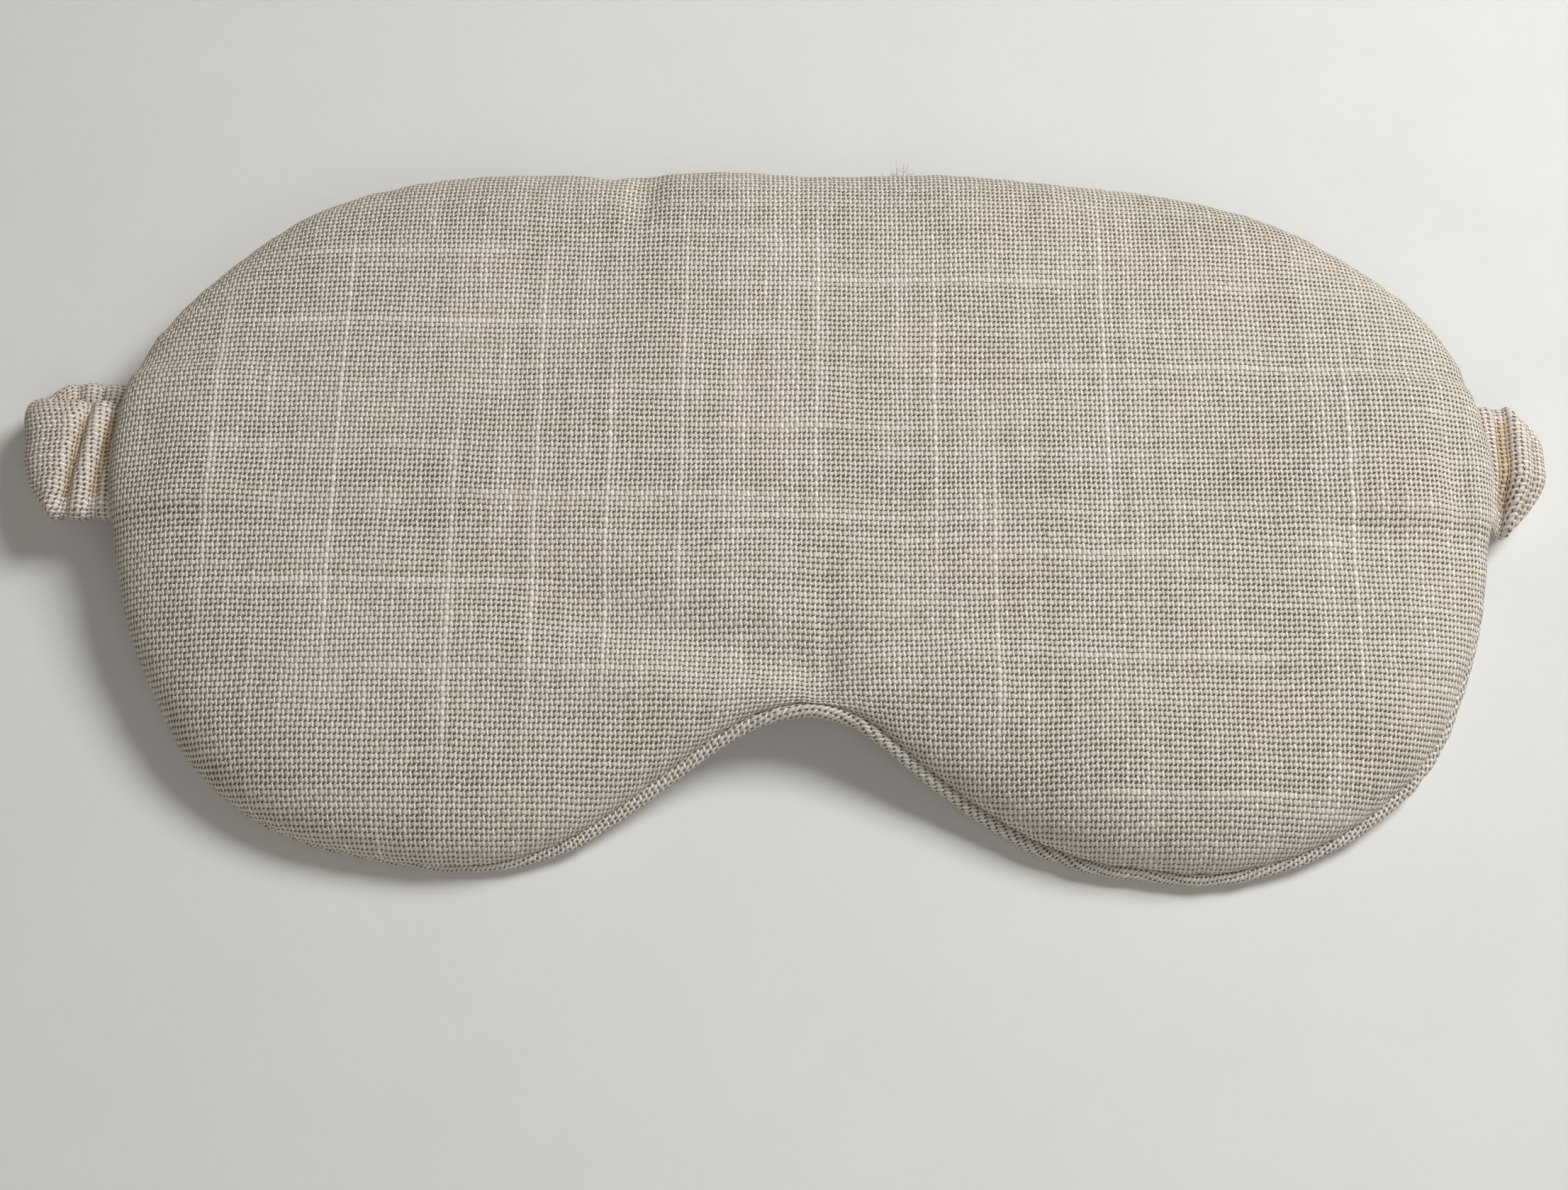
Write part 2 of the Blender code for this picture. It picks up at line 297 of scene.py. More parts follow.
stitch_low = [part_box(node)[0].z for node in ("seam_needle_thread", "seam_bobbin_thread")]
LOBE_Z = sum(stitch_low) / 2 + THREAD_RADIUS
closing_low, closing_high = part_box("closing_stitches")
TOP_Z = (closing_low.z + closing_high.z) / 2

strap_low, strap_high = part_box("strap_casing")
STRAP_Y = (strap_low.y + strap_high.y) / 2


def seam_height(points):
    """The seam plane: low in the lobes, lifted by the strap, and arched over the nose."""
    x, y = points[..., 0], points[..., 1]
    share = np.clip((y - DRAPE_FROM_Y) / (DRAPE_TO_Y - DRAPE_FROM_Y), 0, 1)
    low = LOBE_Z - LOBE_SAG
    drape = low + (TOP_Z - low) * (0.35 * share + 0.65 * smoothstep(0, 1, share))
    return drape + NOSE_ARCH * bell(x - NOTCH[0], 24 * MM) * bell(y - NOTCH[1], 17 * MM)


def parting(points):
    """How far each cover's edge stands off the seam plane to let a strap end in."""
    beyond = np.abs(points[:, 1] - STRAP_Y) - STRAP_HALF_WIDTH
    beside = 1 - smoothstep(0.4 * MM, 4.8 * MM, beyond)
    return STRAP_PARTING * beside * smoothstep(72 * MM, 92 * MM, np.abs(points[:, 0]))


def setback():
    """How far the front cover's edge is rolled back, so that the back cover's edge shows."""
    x, y = OUTLINE.T / MM
    below = 1.45 * smoothstep(0.1, 0.65, INWARD[:, 1]) * (y < -10) * smoothstep(-52, -34, x)
    notch = 0.3 * bell(x - NOTCH[0] / MM, 26) * (y < 0)
    right = 0.45 * smoothstep(0.75, 0.98, -INWARD[:, 0]) * (y < STRAP_Y / MM - 11)
    raw = (below + notch + right) * MM
    width = 9
    wrapped = np.concatenate([raw[-width:], raw, raw[:width]])
    return np.convolve(wrapped, np.ones(2 * width + 1) / (2 * width + 1), "valid")


SETBACK = setback()


# ---- the shape of the two covers

def front_folds(x, y):
    """Height of the drag lines, dents and soft rolls on the front, to add to its puff."""
    x, y, x0, y0 = x / MM, y / MM, NOTCH[0] / MM, NOTCH[1] / MM
    left, right, up = x0 - x, x - x0, y - y0

    # Two drag lines run out and up from over the notch, each with a soft roll below it.
    line = y0 + 7 + np.where(x < x0, 0.22 * left, 0.32 * right)
    spread = 3.6 + 0.06 * np.abs(right)
    left_strength = 1.6 * (1 - smoothstep(24, 60, left))
    right_strength = 0.85 * (1 - smoothstep(14, 46, right))
    strength = np.where(x < x0, left_strength, right_strength)
    dragged = strength * (bell(y - line, spread) - 0.5 * bell(y - line + 8, 5))

    # An upright crease over the notch, and the saddle between the two lobes.
    crease = 1.2 * bell(right - 2.2 - 0.03 * up, 3) * (1 - smoothstep(6, 26, up))
    saddle = 0.3 * bell(right, 14) * (1 - smoothstep(2, 24, up))

    # The dip in the top edge with a roll on its left, and the pulls beside the strap's two ends.
    near_top = smoothstep(-20, -5, y - OUTLINE[:, 1].max() / MM)
    dip = (1.15 * bell(x + 22.6, 2.6) - 0.55 * bell(x + 29, 4)) * near_top
    dent = 1.3 * bell(x - 100.8, 2.3) * bell(y - 3, 9)
    pulled = 0.6 * bell(x + 96, 3.5) * bell(y - STRAP_Y / MM, 8)

    place = np.column_stack([x, y])
    soft = 0.34 * ripple(place, 44, 5) + 0.13 * ripple(place, 17, 6) + 0.035 * ripple(place, 6, 8)
    return (soft - dragged - crease - saddle - dip - dent - pulled) * MM


def back_folds(x, y):
    """Height of the back's few soft waves, to add to its puff."""
    place = np.column_stack([x, y]) / MM
    return (0.15 * ripple(place, 38, 15) + 0.08 * ripple(place, 14, 16) - 0.15) * MM


def puckers(seed):
    """Small gathers along the seam, stronger where the outline curves."""
    bend = np.linalg.norm(np.roll(INWARD, -4, axis=0) - np.roll(INWARD, 4, axis=0), axis=1)
    bend = 0.35 + 0.65 * smoothstep(0.02, 0.3, bend)
    return bend * (ripple(ALONG, 7 * MM, seed) + 0.6 * ripple(ALONG, 3.4 * MM, seed + 1))


def dome(depth):
    """The share of its full height that a cover has reached this far inside its edge."""
    return EDGE_FULLNESS + (1 - EDGE_FULLNESS) * smoothstep(0, DOME_REACH, depth)


class Cover:
    """One linen cover: rings of points from its seam allowance round the lip and up to the spine."""

    def __init__(self, side):
        self.side = side
        front = side > 0
        self.shoulder = FRONT_SHOULDER if front else BACK_SHOULDER
        self.height = FRONT_HEIGHT if front else BACK_HEIGHT
        self.folds = front_folds if front else back_folds
        self.puckers = puckers(21 if front else 31)
        rolled = SETBACK * (not front)
        self.offset = SETBACK - rolled
        self.lip = LIP_RADIUS + 0.25 * rolled
        self.lip_z = SEAM_GAP + LIP_RADIUS - 0.117 * rolled
        self.edge = OUTLINE + INWARD * self.offset[:, None]
        self.rings, self.flat = [], []
        self.arc_depth, self.arc = self.arc_table()
        self.make_rings()

    def arc_table(self):
        """Depths, and the length of cloth from each of them in to the shoulder."""
        angle = np.linspace(0, math.pi / 2, 200)
        depth = self.shoulder * (1 - np.cos(angle))
        rise = (self.height - SEAM_GAP - LIP_RADIUS) * np.sin(angle)
        run = run_of(np.column_stack([depth, rise]))
        return depth, run[-1] - run

    def add(self, points, height, flat):
        z = seam_height(points) + self.side * (parting(points) + height)
        self.rings.append(np.column_stack([points, z]))
        self.flat.append(flat)

    def edge_ring(self, depth, height, cloth):
        """A ring at a distance inside the cover's own edge; cloth is its distance in the flat."""
        points = self.edge + INWARD * depth[:, None]
        flat = self.edge + INWARD * np.reshape(self.shoulder - cloth, (-1, 1))
        self.add(points, height, flat)

    def make_rings(self):
        lip_end = np.full(POINTS, 1.5 * math.pi)
        if self.side < 0:
            lip_end += np.arccos(np.clip((self.lip_z - SEAM_GAP) / self.lip, 0, 1))
        sweep = self.lip * (lip_end - math.pi)
        inner = self.lip * (1 + np.cos(lip_end))
        twist = np.column_stack([-INWARD[:, 1], INWARD[:, 0]]) * 0.55
        for share in (1, 0.5):
            depth = inner + (ALLOWANCE - inner) * share
            self.edge_ring(depth, SEAM_GAP, self.arc[0] + sweep + depth - inner)
        for step in range(LIP_STEPS, 0, -1):
            turn = math.pi + (lip_end - math.pi) * step / LIP_STEPS
            swept = self.lip * (turn - math.pi)
            depth = self.lip * (1 + np.cos(turn)) - PUCKER_DEPTH * self.puckers
            self.edge_ring(depth, self.lip_z + self.lip * np.sin(turn), self.arc[0] + swept)
            if self.side < 0:
                self.flat[-1] = self.flat[-1] + twist * swept[:, None]
        for angle in EDGE_ANGLES:
            depth = self.shoulder * (1 - math.cos(angle))
            fade = math.exp(-depth / PUCKER_FADE)
            full_height = self.full_height(self.edge + INWARD * depth)
            height = self.lip_z + (full_height - self.lip_z) * math.sin(angle) * dome(depth)
            height = height + PUCKER_HEIGHT * self.puckers * fade * math.sin(angle) ** 0.5
            cloth = np.interp(depth, self.arc_depth, self.arc)
            self.edge_ring(depth - PUCKER_DEPTH * self.puckers * fade, height, cloth)
        self.edge_count = len(self.rings)
        for share in SPINE_SHARES:
            self.spine_ring(share)
        self.rings = np.array(self.rings)
        self.flat = np.array(self.flat)
        self.add_folds()

    def full_height(self, points):
        """The puff well inside the edge. The front's stays up where its seam sinks."""
        sunk = TOP_Z - seam_height(points) if self.side > 0 else 0
        from_notch = points - NOTCH
        thinner = NOTCH_THINNING * bell(from_notch[:, 0], 22 * MM) * bell(from_notch[:, 1], 15 * MM)
        return self.height + FRONT_LEVEL * sunk - thinner * (self.side > 0)

    def spine_ring(self, share):
        start = self.rings[self.edge_count - 1][:, :2]
        points = start + share * (self.spine() - start)
        depth = self.depth(points)
        rise = np.sqrt(1 - (1 - np.minimum(depth, self.shoulder) / self.shoulder) ** 2)
        height = self.lip_z + (self.full_height(points) - self.lip_z) * rise * dome(depth)
        extra = np.interp(depth, self.arc_depth, self.arc) - (self.shoulder - depth)
        extra = np.where(depth > self.shoulder, 0, extra) * (1 - share)
        fade = np.exp(-depth / PUCKER_FADE)
        height = height + PUCKER_HEIGHT * self.puckers * fade
        self.add(points, height, points - INWARD * extra[:, None])

    def spine(self):
        """Where the rings run to: a line across the pad, reached from above and from below."""
        across = self.edge[:, 0]
        mirrored = across[(-np.arange(POINTS)) % POINTS]
        return np.column_stack([SPINE_REACH * (across + mirrored) / 2, np.full(POINTS, SPINE_Y)])

    def depth(self, points):
        """How far inside the cover's edge each point lies."""
        return np.array([np.linalg.norm(self.edge - p, axis=1).min() for p in points])

    def add_folds(self):
        """Adds the folds, which die out at the lip, and keeps the back cover on the table."""
        for ring in range(len(self.rings)):
            x, y, z = self.rings[ring].T
            held = 1.0 if ring >= self.edge_count else 0.0
            if EDGE_RING <= ring < self.edge_count:
                held = (math.sin(EDGE_ANGLES[ring - EDGE_RING]) / math.sin(EDGE_ANGLES[-1])) ** 0.7
            self.rings[ring][:, 2] = z + self.side * held * self.folds(x, y)
        if self.side < 0:
            self.rings[..., 2] = np.maximum(self.rings[..., 2], 0.02 * MM)


# ---- meshes

def loop_faces(rings, count, closed=False):
    """Quads between rings of count points, one ring after another."""
    faces = []
    for ring in range(rings if closed else rings - 1):
        low, high = ring * count, (ring + 1) % rings * count
        for i in range(count):
            j = (i + 1) % count
            faces.append((low + i, low + j, high + j, high + i))
    return faces


def spine_faces(first):
    """Closes the ring that starts at this point, by joining its upper half to its lower half."""
    faces = []
    for i in range(HALF_POINTS):
        a, b = first + i, first + i + 1
        c, d = first + POINTS - i - 1, first + (POINTS - i) % POINTS
        faces.append((a, b, c) if a == d else (a, b, d) if b == c else (a, b, c, d))
    return faces


def end_caps(rings, count):
    """One face over each open end of a tube."""
    last = (rings - 1) * count
    return [tuple(reversed(range(count))), tuple(last + i for i in range(count))]


def flipped(faces):
    """The same faces, looking the other way."""
    return [tuple(reversed(f)) for f in faces]


def new_object(name, data):
    obj = bpy.data.objects.new(name, data)
    bpy.context.scene.collection.objects.link(obj)
    return obj


def new_mesh(name, points, faces, flat=None, wrap=None):
    """A mesh object. For a tube, wrap is how many points lie round it and its girth in the flat."""
    mesh = bpy.data.meshes.new(name)
    mesh.from_pydata([tuple(p) for p in np.reshape(points, (-1, 3))], [], faces)
    if flat is not None:
        layer = mesh.uv_layers.new(name="flat")
        corner = np.zeros(len(mesh.loops), int)
        mesh.loops.foreach_get("vertex_index", corner)
        at = np.reshape(flat, (-1, 2))[corner]
        if wrap:
            column = (corner % wrap[0]).reshape(len(faces), -1)
            last_to_first = (column.max(axis=1) - column.min(axis=1) == wrap[0] - 1)[:, None]
            at[(last_to_first & (column == 0)).ravel(), 0] += wrap[1]
        layer.data.foreach_set("uv", (at / MM).astype(np.float32).ravel())
    mesh.shade_smooth()
    return new_object(name, mesh)


def add_attribute(obj, name, values):
    attribute = obj.data.attributes.new(name, "FLOAT", "POINT")
    attribute.data.foreach_set("value", np.asarray(values, np.float32))


def solidified(obj, thickness):
    """Gives a cloth surface its thickness, on its inner side, as real faces."""
    wall = obj.modifiers.new("Cloth", "SOLIDIFY")
    wall.thickness, wall.offset = thickness, -1
    graph = bpy.context.evaluated_depsgraph_get()
    mesh = bpy.data.meshes.new_from_object(
        obj.evaluated_get(graph), preserve_all_data_layers=True, depsgraph=graph
    )
    obj.modifiers.clear()
    old, obj.data = obj.data, mesh
    bpy.data.meshes.remove(old)
    return obj


def make_cover(name, cover):
    count = len(cover.rings)
    faces = loop_faces(count, POINTS) + spine_faces((count - 1) * POINTS)
    if cover.side < 0:
        faces = flipped(faces)
    return solidified(new_mesh(name, cover.rings, faces, cover.flat), CLOTH)


def make_filling(name, cover):
    """Batting that fills the space behind a cover, down to the seam plane."""
    top = cover.rings[cover.edge_count + 1 :].copy()
    top[..., 2] -= cover.side * (CLOTH + FILLING_GAP)
    middle = top.copy()
    middle[..., 2] = seam_height(top) + cover.side * FILLING_GAP
    thick = cover.side * (top[..., 2] - middle[..., 2])
    top[..., 2] = middle[..., 2] + cover.side * np.maximum(thick, 0.5 * MM)
    layers = np.concatenate([middle[::-1], top])
    faces = loop_faces(len(layers), POINTS) + flipped(spine_faces(0))
    faces += spine_faces((len(layers) - 1) * POINTS)
    if cover.side < 0:
        faces = flipped(faces)
    return new_mesh(name, layers, faces, layers[..., :2])


def thread(name, path, radius, closed=False, sides=6):
    """A round thread along a polyline, as one closed mesh."""
    path = np.asarray(path, float)
    along = np.gradient(path, axis=0)
    if closed:
        along = np.roll(path, -1, axis=0) - np.roll(path, 1, axis=0)
    along /= np.linalg.norm(along, axis=1)[:, None]
    across = np.cross(along, [0.13, 0.21, 0.97])
    across /= np.linalg.norm(across, axis=1)[:, None]
    up = np.cross(across, along)
    turns = np.linspace(0, 2 * math.pi, sides, endpoint=False)
    rings = [path + radius * (math.cos(t) * across + math.sin(t) * up) for t in turns]
    points = np.stack(rings, axis=1)
    faces = loop_faces(len(path), sides, closed)
    if not closed:
        faces += end_caps(len(path), sides)
    flat = [np.repeat(run_of(path), sides), np.tile(turns * radius, len(path))]
    return new_mesh(name, points, flipped(faces), np.stack(flat, axis=1))


# ---- the strap

class StrapHalf:
    """Half of the strap, from its tail in the side seam round the loop to under the pad's middle."""

    def __init__(self, side):
        self.side = side
        self.loop = LOOPS[side]
        self.seed = 40 if side < 0 else 50
        self.radius = (TOP_Z - STRAP_BED_Z) / 2
        end = strap_high.x if side > 0 else -strap_low.x
        self.turn_x = end + LOOP_REACH - LOOP_HALF - self.radius
        near = np.abs(OUTLINE[:, 1] - STRAP_Y) < 2 * MM
        self.seam_x = (OUTLINE[near & (OUTLINE[:, 0] * side > 0), 0] * side).mean()
        self.tail_x = self.seam_x - STRAP_TAIL
        self.upper = self.turn_x - self.tail_x
        self.turn_end = self.upper + math.pi * self.radius
        self.length = self.turn_end + self.turn_x
        self.place_valleys()

    def line(self, s):
        """Middle line (x, z), the way along it and the half thickness, at distances s."""
        angle = np.clip((s - self.upper) / self.radius, 0, math.pi)
        low_run = np.maximum(s - self.turn_end, 0)
        x = np.where(s < self.upper, self.tail_x + s, self.turn_x)
        x = x + self.radius * np.sin(angle) ** LOOP_SQUARENESS - low_run
        turned = np.sign(np.cos(angle)) * np.abs(np.cos(angle)) ** LOOP_SQUARENESS
        z = STRAP_BED_Z + self.radius * (1 + turned)
        full = LOOP_HALF + (STRAP_HALF - LOOP_HALF) * smoothstep(0.5 * math.pi, 0.9 * math.pi, angle)
        half = STRAP_TAIL_HALF + (full - STRAP_TAIL_HALF) * smoothstep(4.5 * MM, 9 * MM, s)
        return x, z, angle, half

    def place_valleys(self):
        """Places the valleys: three in the tail, then those that show, then the even ones below."""
        outermost = self.upper + self.radius * math.pi / 2
        s = np.linspace(0, outermost, 400)
        x, _, angle, half = self.line(s)
        shown = np.interp(np.array(self.loop["valleys"]) * MM, x + half * np.sin(angle), s)
        first_below = outermost + self.loop["below"] * MM
        rest = round((self.length - first_below) / GATHER_PITCH)
        pitch = (self.length - first_below) / (rest + 0.5)
        below = first_below + pitch * np.arange(rest + 2)
        tail = shown[0] - GATHER_PITCH * np.array([3, 2, 1])
        self.valleys = np.concatenate([tail, shown, below])
        seen = slice(len(tail), len(tail) + len(shown))
        self.floors = np.full(len(self.valleys), CREASE_FLOOR)
        self.floors[seen] = self.loop["floors"]
        self.depths = np.ones(len(self.valleys))
        self.depths[seen] = self.loop["depths"]

    def phase(self, s, y):
        """Counts the gathers. A valley lies wherever it is a whole number."""
        lean = self.loop["lean"] * (1 - smoothstep(self.turn_end, self.turn_end + 25 * MM, s))
        wander = ripple(np.stack([s, 0.55 * y], axis=-1), 17 * MM, self.seed)
        loose = smoothstep(self.turn_end - 4 * MM, self.turn_end + 8 * MM, s)
        settle = 1 - smoothstep(self.length - 12 * MM, self.length, s)
        count = np.interp(s + lean * y, self.valleys, np.arange(len(self.valleys)))
        return count + wander * settle * (0.08 + 0.26 * loose)

    def crest(self, s, y):
        """Ridge height from 0 on a valley's floor to 1 on a crest."""
        count = self.phase(s, y)
        valley = np.round(count)
        index = np.clip(valley, 0, len(self.valleys) - 1).astype(int)
        floor = self.floors[index]
        rise = np.clip((2 * np.abs(count - valley) - floor) / (1 - floor), 0, 1)
        ridge = 1 - self.depths[index] * (1 - np.sin(rise * math.pi / 2) ** 0.7)
        size = ripple(np.stack([s, y], axis=-1), 11 * MM, self.seed + 20)
        settle = 1 - smoothstep(self.length - 6 * MM, self.length, s)
        return np.clip(ridge * (0.93 + 0.10 * size * settle), 0, 1)

    def skew(self, s):
        """How far the strap's middle has shifted along y where the loop twists."""
        into = smoothstep(self.upper + 2 * MM, self.turn_end, s)
        out = 1 - smoothstep(self.turn_end, self.turn_end + 55 * MM, s)
        start, end = self.loop["skew"]
        fade = 1 - smoothstep(self.turn_end + 30 * MM, self.length - 20 * MM, s)
        return (start + (end - start) * into * out) * fade * MM

    def pulled_in(self, y, angle):
        """How much shorter the loop is towards its long edges."""
        y = y / MM
        if self.side < 0:
            low = 4.6 * np.clip((0.5 - y) / 10, 0, 1) ** 1.7
            high = -1.2 * smoothstep(1, 8, y)
        else:
            low = 5.0 * np.clip((-1.5 - y) / 8, 0, 1) ** 1.5
            high = 4.4 * np.clip((y - 2.5) / 7, 0, 1) ** 2
        return (low + high) * MM * np.sin(angle)

    def place(self, s, y, through):
        """Points at a distance s along the strap, y across it and through it outward."""
        x, z, angle, _ = self.line(s)
        x = x - self.pulled_in(y, angle) + through * np.sin(angle)
        low_edge = np.clip((-1 * MM - y) / (8.5 * MM), 0, 1) ** 1.3
        free = smoothstep(STRAP_TAIL - 1 * MM, STRAP_TAIL + 2.5 * MM, s) * (1 + np.cos(angle)) / 2
        hang = self.loop["droop"] * MM * low_edge * free
        z = z + through * np.cos(angle) - hang
        return np.stack([self.side * x, STRAP_Y + self.skew(s) + y, z], axis=-1)


def strap_section():
    """Where points sit round the strap: share of the half width, face, and edge turn."""
    across = np.linspace(1, -1, STRAP_FLAT_POINTS)
    turns = np.linspace(0, math.pi, STRAP_EDGE_POINTS + 2)[1:-1]
    rows = [(a, 1.0, 0.0) for a in across]
    rows += [(-1.0, math.cos(t), math.sin(t)) for t in turns]
    rows += [(a, -1.0, 0.0) for a in across[::-1]]
    rows += [(1.0, -math.cos(t), math.sin(t)) for t in turns]
    return np.array(rows).T


def make_strap_half(name, half):
    """The casing, as a tube of cloth. Returns it with its cut width and length."""
    across, face, edge = strap_section()
    fine = np.arange(0, half.turn_end + 4 * MM, LOOP_STEP)
    rest = half.length - fine[-1]
    coarse = np.linspace(fine[-1] + STRAP_STEP, half.length, int(rest / STRAP_STEP))
    s = np.concatenate([fine, coarse])[:, None] + 0 * across
    full = half.line(s)[3]
    y = across * (STRAP_HALF_WIDTH - STRAP_FRILL) + 0 * s
    crest = half.crest(s, y)
    thick = STRAP_VALLEY_HALF + (full - STRAP_VALLEY_HALF) * crest
    through = face * thick * (1 - 0.25 * np.abs(across) ** 4)
    out = y + np.sign(across) * STRAP_FRILL * edge * (0.8 + 0.25 * crest)
    points = half.place(s, out, through)
    girth_at = run_of(np.column_stack([out[len(fine) // 2], through[len(fine) // 2]]))
    girth = girth_at[-1] + girth_at[1]
    cloth = np.zeros(s.shape)
    cloth[1:] = np.cumsum(np.linalg.norm(np.diff(points, axis=0), axis=2), axis=0)
    flat = np.stack([girth_at + 0 * s, cloth], axis=-1)
    faces = loop_faces(len(s), len(across))
    if half.side > 0:
        faces = flipped(faces)
    obj = new_mesh(name, points, faces, flat, wrap=(len(across), girth))
    inside = 1 - smoothstep(0.72, 0.98, np.abs(across))
    # How deep in a gather's groove each point lies, for the painted warm shade there.
    add_attribute(obj, "painted_groove_shade", ((1 - crest) ** 1.4 * inside).ravel())
    return solidified(obj, CASING_WALL), (girth, cloth[-1].mean())


def make_elastic_half(name, half):
    """The elastic inside the casing: a flat band with fine ribs along it."""
    rows = int(half.length / ELASTIC_STEP)
    across = np.linspace(1, -1, ELASTIC_POINTS)
    across = np.concatenate([across, across[::-1]])
    face = np.repeat([1.0, -1.0], ELASTIC_POINTS)
    s = np.linspace(0, half.length, rows)[:, None] + 0 * across
    ribs = ELASTIC_RIB * np.cos(across * 6 * math.pi)
    y = across * ELASTIC_WIDTH / 2 + 0 * s
    points = half.place(s, y, face * (ELASTIC_HALF - ELASTIC_RIB + ribs))
    faces = loop_faces(rows, len(across)) + end_caps(rows, len(across))
    if half.side > 0:
        faces = flipped(faces)
    return new_mesh(name, points, faces, np.stack([y, s], axis=-1))


# ---- materials

class Graph:
    """Adds shader nodes with short calls. Each call returns an output socket."""

    def __init__(self, name):
        self.material = bpy.data.materials.new(name)
        self.material.use_nodes = True
        self.tree = self.material.node_tree
        self.shader = self.tree.nodes["Principled BSDF"]

    def feed(self, socket, value):
        if isinstance(value, bpy.types.NodeSocket):
            self.tree.links.new(value, socket)
        else:
            socket.default_value = value

    def add(self, kind, output=0, inputs=None, **settings):
        node = self.tree.nodes.new("ShaderNode" + kind)
        for name, value in settings.items():
            setattr(node, name, value)
        for name, value in (inputs or {}).items():
            self.feed(node.inputs[name], value)
        return node.outputs[output]

    def math(self, operation, *values):
        node = self.tree.nodes.new("ShaderNodeMath")
        node.operation = operation
        for socket, value in zip(node.inputs, values):
            self.feed(socket, value)
        return node.outputs[0]

    def madd(self, value, factor, extra):
        return self.math("MULTIPLY_ADD", value, factor, extra)

    def times(self, a, b):
        return self.math("MULTIPLY", a, b)

    def vary(self, value, amount, base):
        """base, raised or lowered by how far a random value lies from its middle."""
        return self.madd(self.math("SUBTRACT", value, 0.5), amount, base)

    def mix(self, share, a, b, blend="MIX"):
        node = self.tree.nodes.new("ShaderNodeMix")
        node.data_type, node.blend_type = "RGBA", blend
        for socket, value in zip((node.inputs[0], node.inputs[6], node.inputs[7]), (share, a, b)):
            if isinstance(value, tuple):
                value = (*value, 1)
            self.feed(socket, value)
        return node.outputs[2]

    def ramp(self, value, low, high, to_low=0.0, to_high=1.0):
        names = ("Value", "From Min", "From Max", "To Min", "To Max")
        inputs = dict(zip(names, (value, low, high, to_low, to_high)))
        return self.add("MapRange", inputs=inputs, interpolation_type="SMOOTHSTEP")

    def noise(self, vector, scale, detail, roughness=0.5, output="Fac", dimensions="2D"):
        inputs = {"Vector": vector, "Scale": scale, "Detail": detail, "Roughness": roughness}
        return self.add("TexNoise", output, inputs, noise_dimensions=dimensions)

    def split(self, colour):
        node = self.tree.nodes.new("ShaderNodeSeparateColor")
        self.feed(node.inputs[0], colour)
        return node.outputs[:3]

    def vector(self, x, y, z=0.0):
        return self.add("CombineXYZ", inputs={"X": x, "Y": y, "Z": z})

    def bump(self, height, distance, strength):
        inputs = {"Strength": strength, "Distance": distance, "Height": height}
        self.set(Normal=self.add("Bump", inputs=inputs))

    def set(self, **inputs):
        for name, value in inputs.items():
            self.feed(self.shader.inputs[name.replace("_", " ")], value)


# The thick yarns that stand out in the front cover: the warp ones as (x, from y, to y) and the
# weft ones as (y, from x, to x), in mm in the flat pattern.
WARP_SLUBS = (
    (-86, -30, 44), (-67, -40, 55), (-49, -52, 20), (-37, -48, 50), (-26, -40, 30), (-15.4, -30, 52),
    (4.6, -12, 58), (22.6, -20, 40), (31, -45, 12), (48.6, -8, 54), (84.6, -36, 30),
)
WEFT_SLUBS = (
    (43.5, -25, 1), (39.5, -82, -37), (35.5, 1, 49), (27.5, -92, -21), (20.5, 20, 103),
    (9.6, -16, 25), (-1, -60, 8), (-4.5, -20, 40), (-10, 23, 62), (-15, -88, -30), (-26, 36, 80),
    (-28, -75, -8), (-45.5, 40, 84),
)


def slub_field(g, index, along, slubs, pitch):
    """1 on the listed thick yarns between their two ends, fading out towards the ends."""
    total = None
    for place, start, end in slubs:
        on_yarn = g.math("COMPARE", index, float(math.floor(place / pitch)), 0.5)
        middle, reach = (start + end) / 2, (end - start) / 2
        off = g.math("ABSOLUTE", g.math("SUBTRACT", along, middle))
        term = g.times(on_yarn, g.ramp(off, reach * 0.55, reach, 1.0, 0.0))
        total = term if total is None else g.math("ADD", total, term)
    return total


def yarns(g, index, along, seed, step, slubs, pitch):
    """Three random values for each yarn, a slow change along it, and how thick its slubs are."""
    inputs = {"W": g.math("ADD", index, seed)}
    values = g.split(g.add("TexWhiteNoise", 1, inputs, noise_dimensions="1D"))
    streak = g.noise(g.vector(g.times(index, step), g.times(along, 0.08)), 1.0, 2.0)
    slub = g.times(g.ramp(streak, 0.64, 0.80), 0.45)
    if slubs:
        slub = g.math("MAXIMUM", slub, slub_field(g, index, along, slubs, pitch))
    return values, streak, slub


def crossing(g, along, pitch, slow, fast):
    """The number of the yarn here, and the offset from its middle in yarn pitches."""
    at = g.madd(slow, 2 * YARN_DRIFT, g.math("DIVIDE", along, pitch))
    at = g.madd(fast, 2 * YARN_SHAKE, at)
    at = g.math("SUBTRACT", at, YARN_DRIFT + YARN_SHAKE)
    index = g.math("FLOOR", at)
    return index, g.math("SUBTRACT", g.math("SUBTRACT", at, index), 0.5)


def half_width(g, base, yarn, bead, slub, streak, closed):
    """Half a yarn's width in yarn pitches, from its random values, its streak and its slubs."""
    wide = g.madd(yarn, 0.08, g.math("ADD", closed, base))
    wide = g.madd(bead, 0.05, wide)
    wide = g.vary(streak, 0.10, wide)
    return g.madd(slub, SLUB_GROWTH, wide)


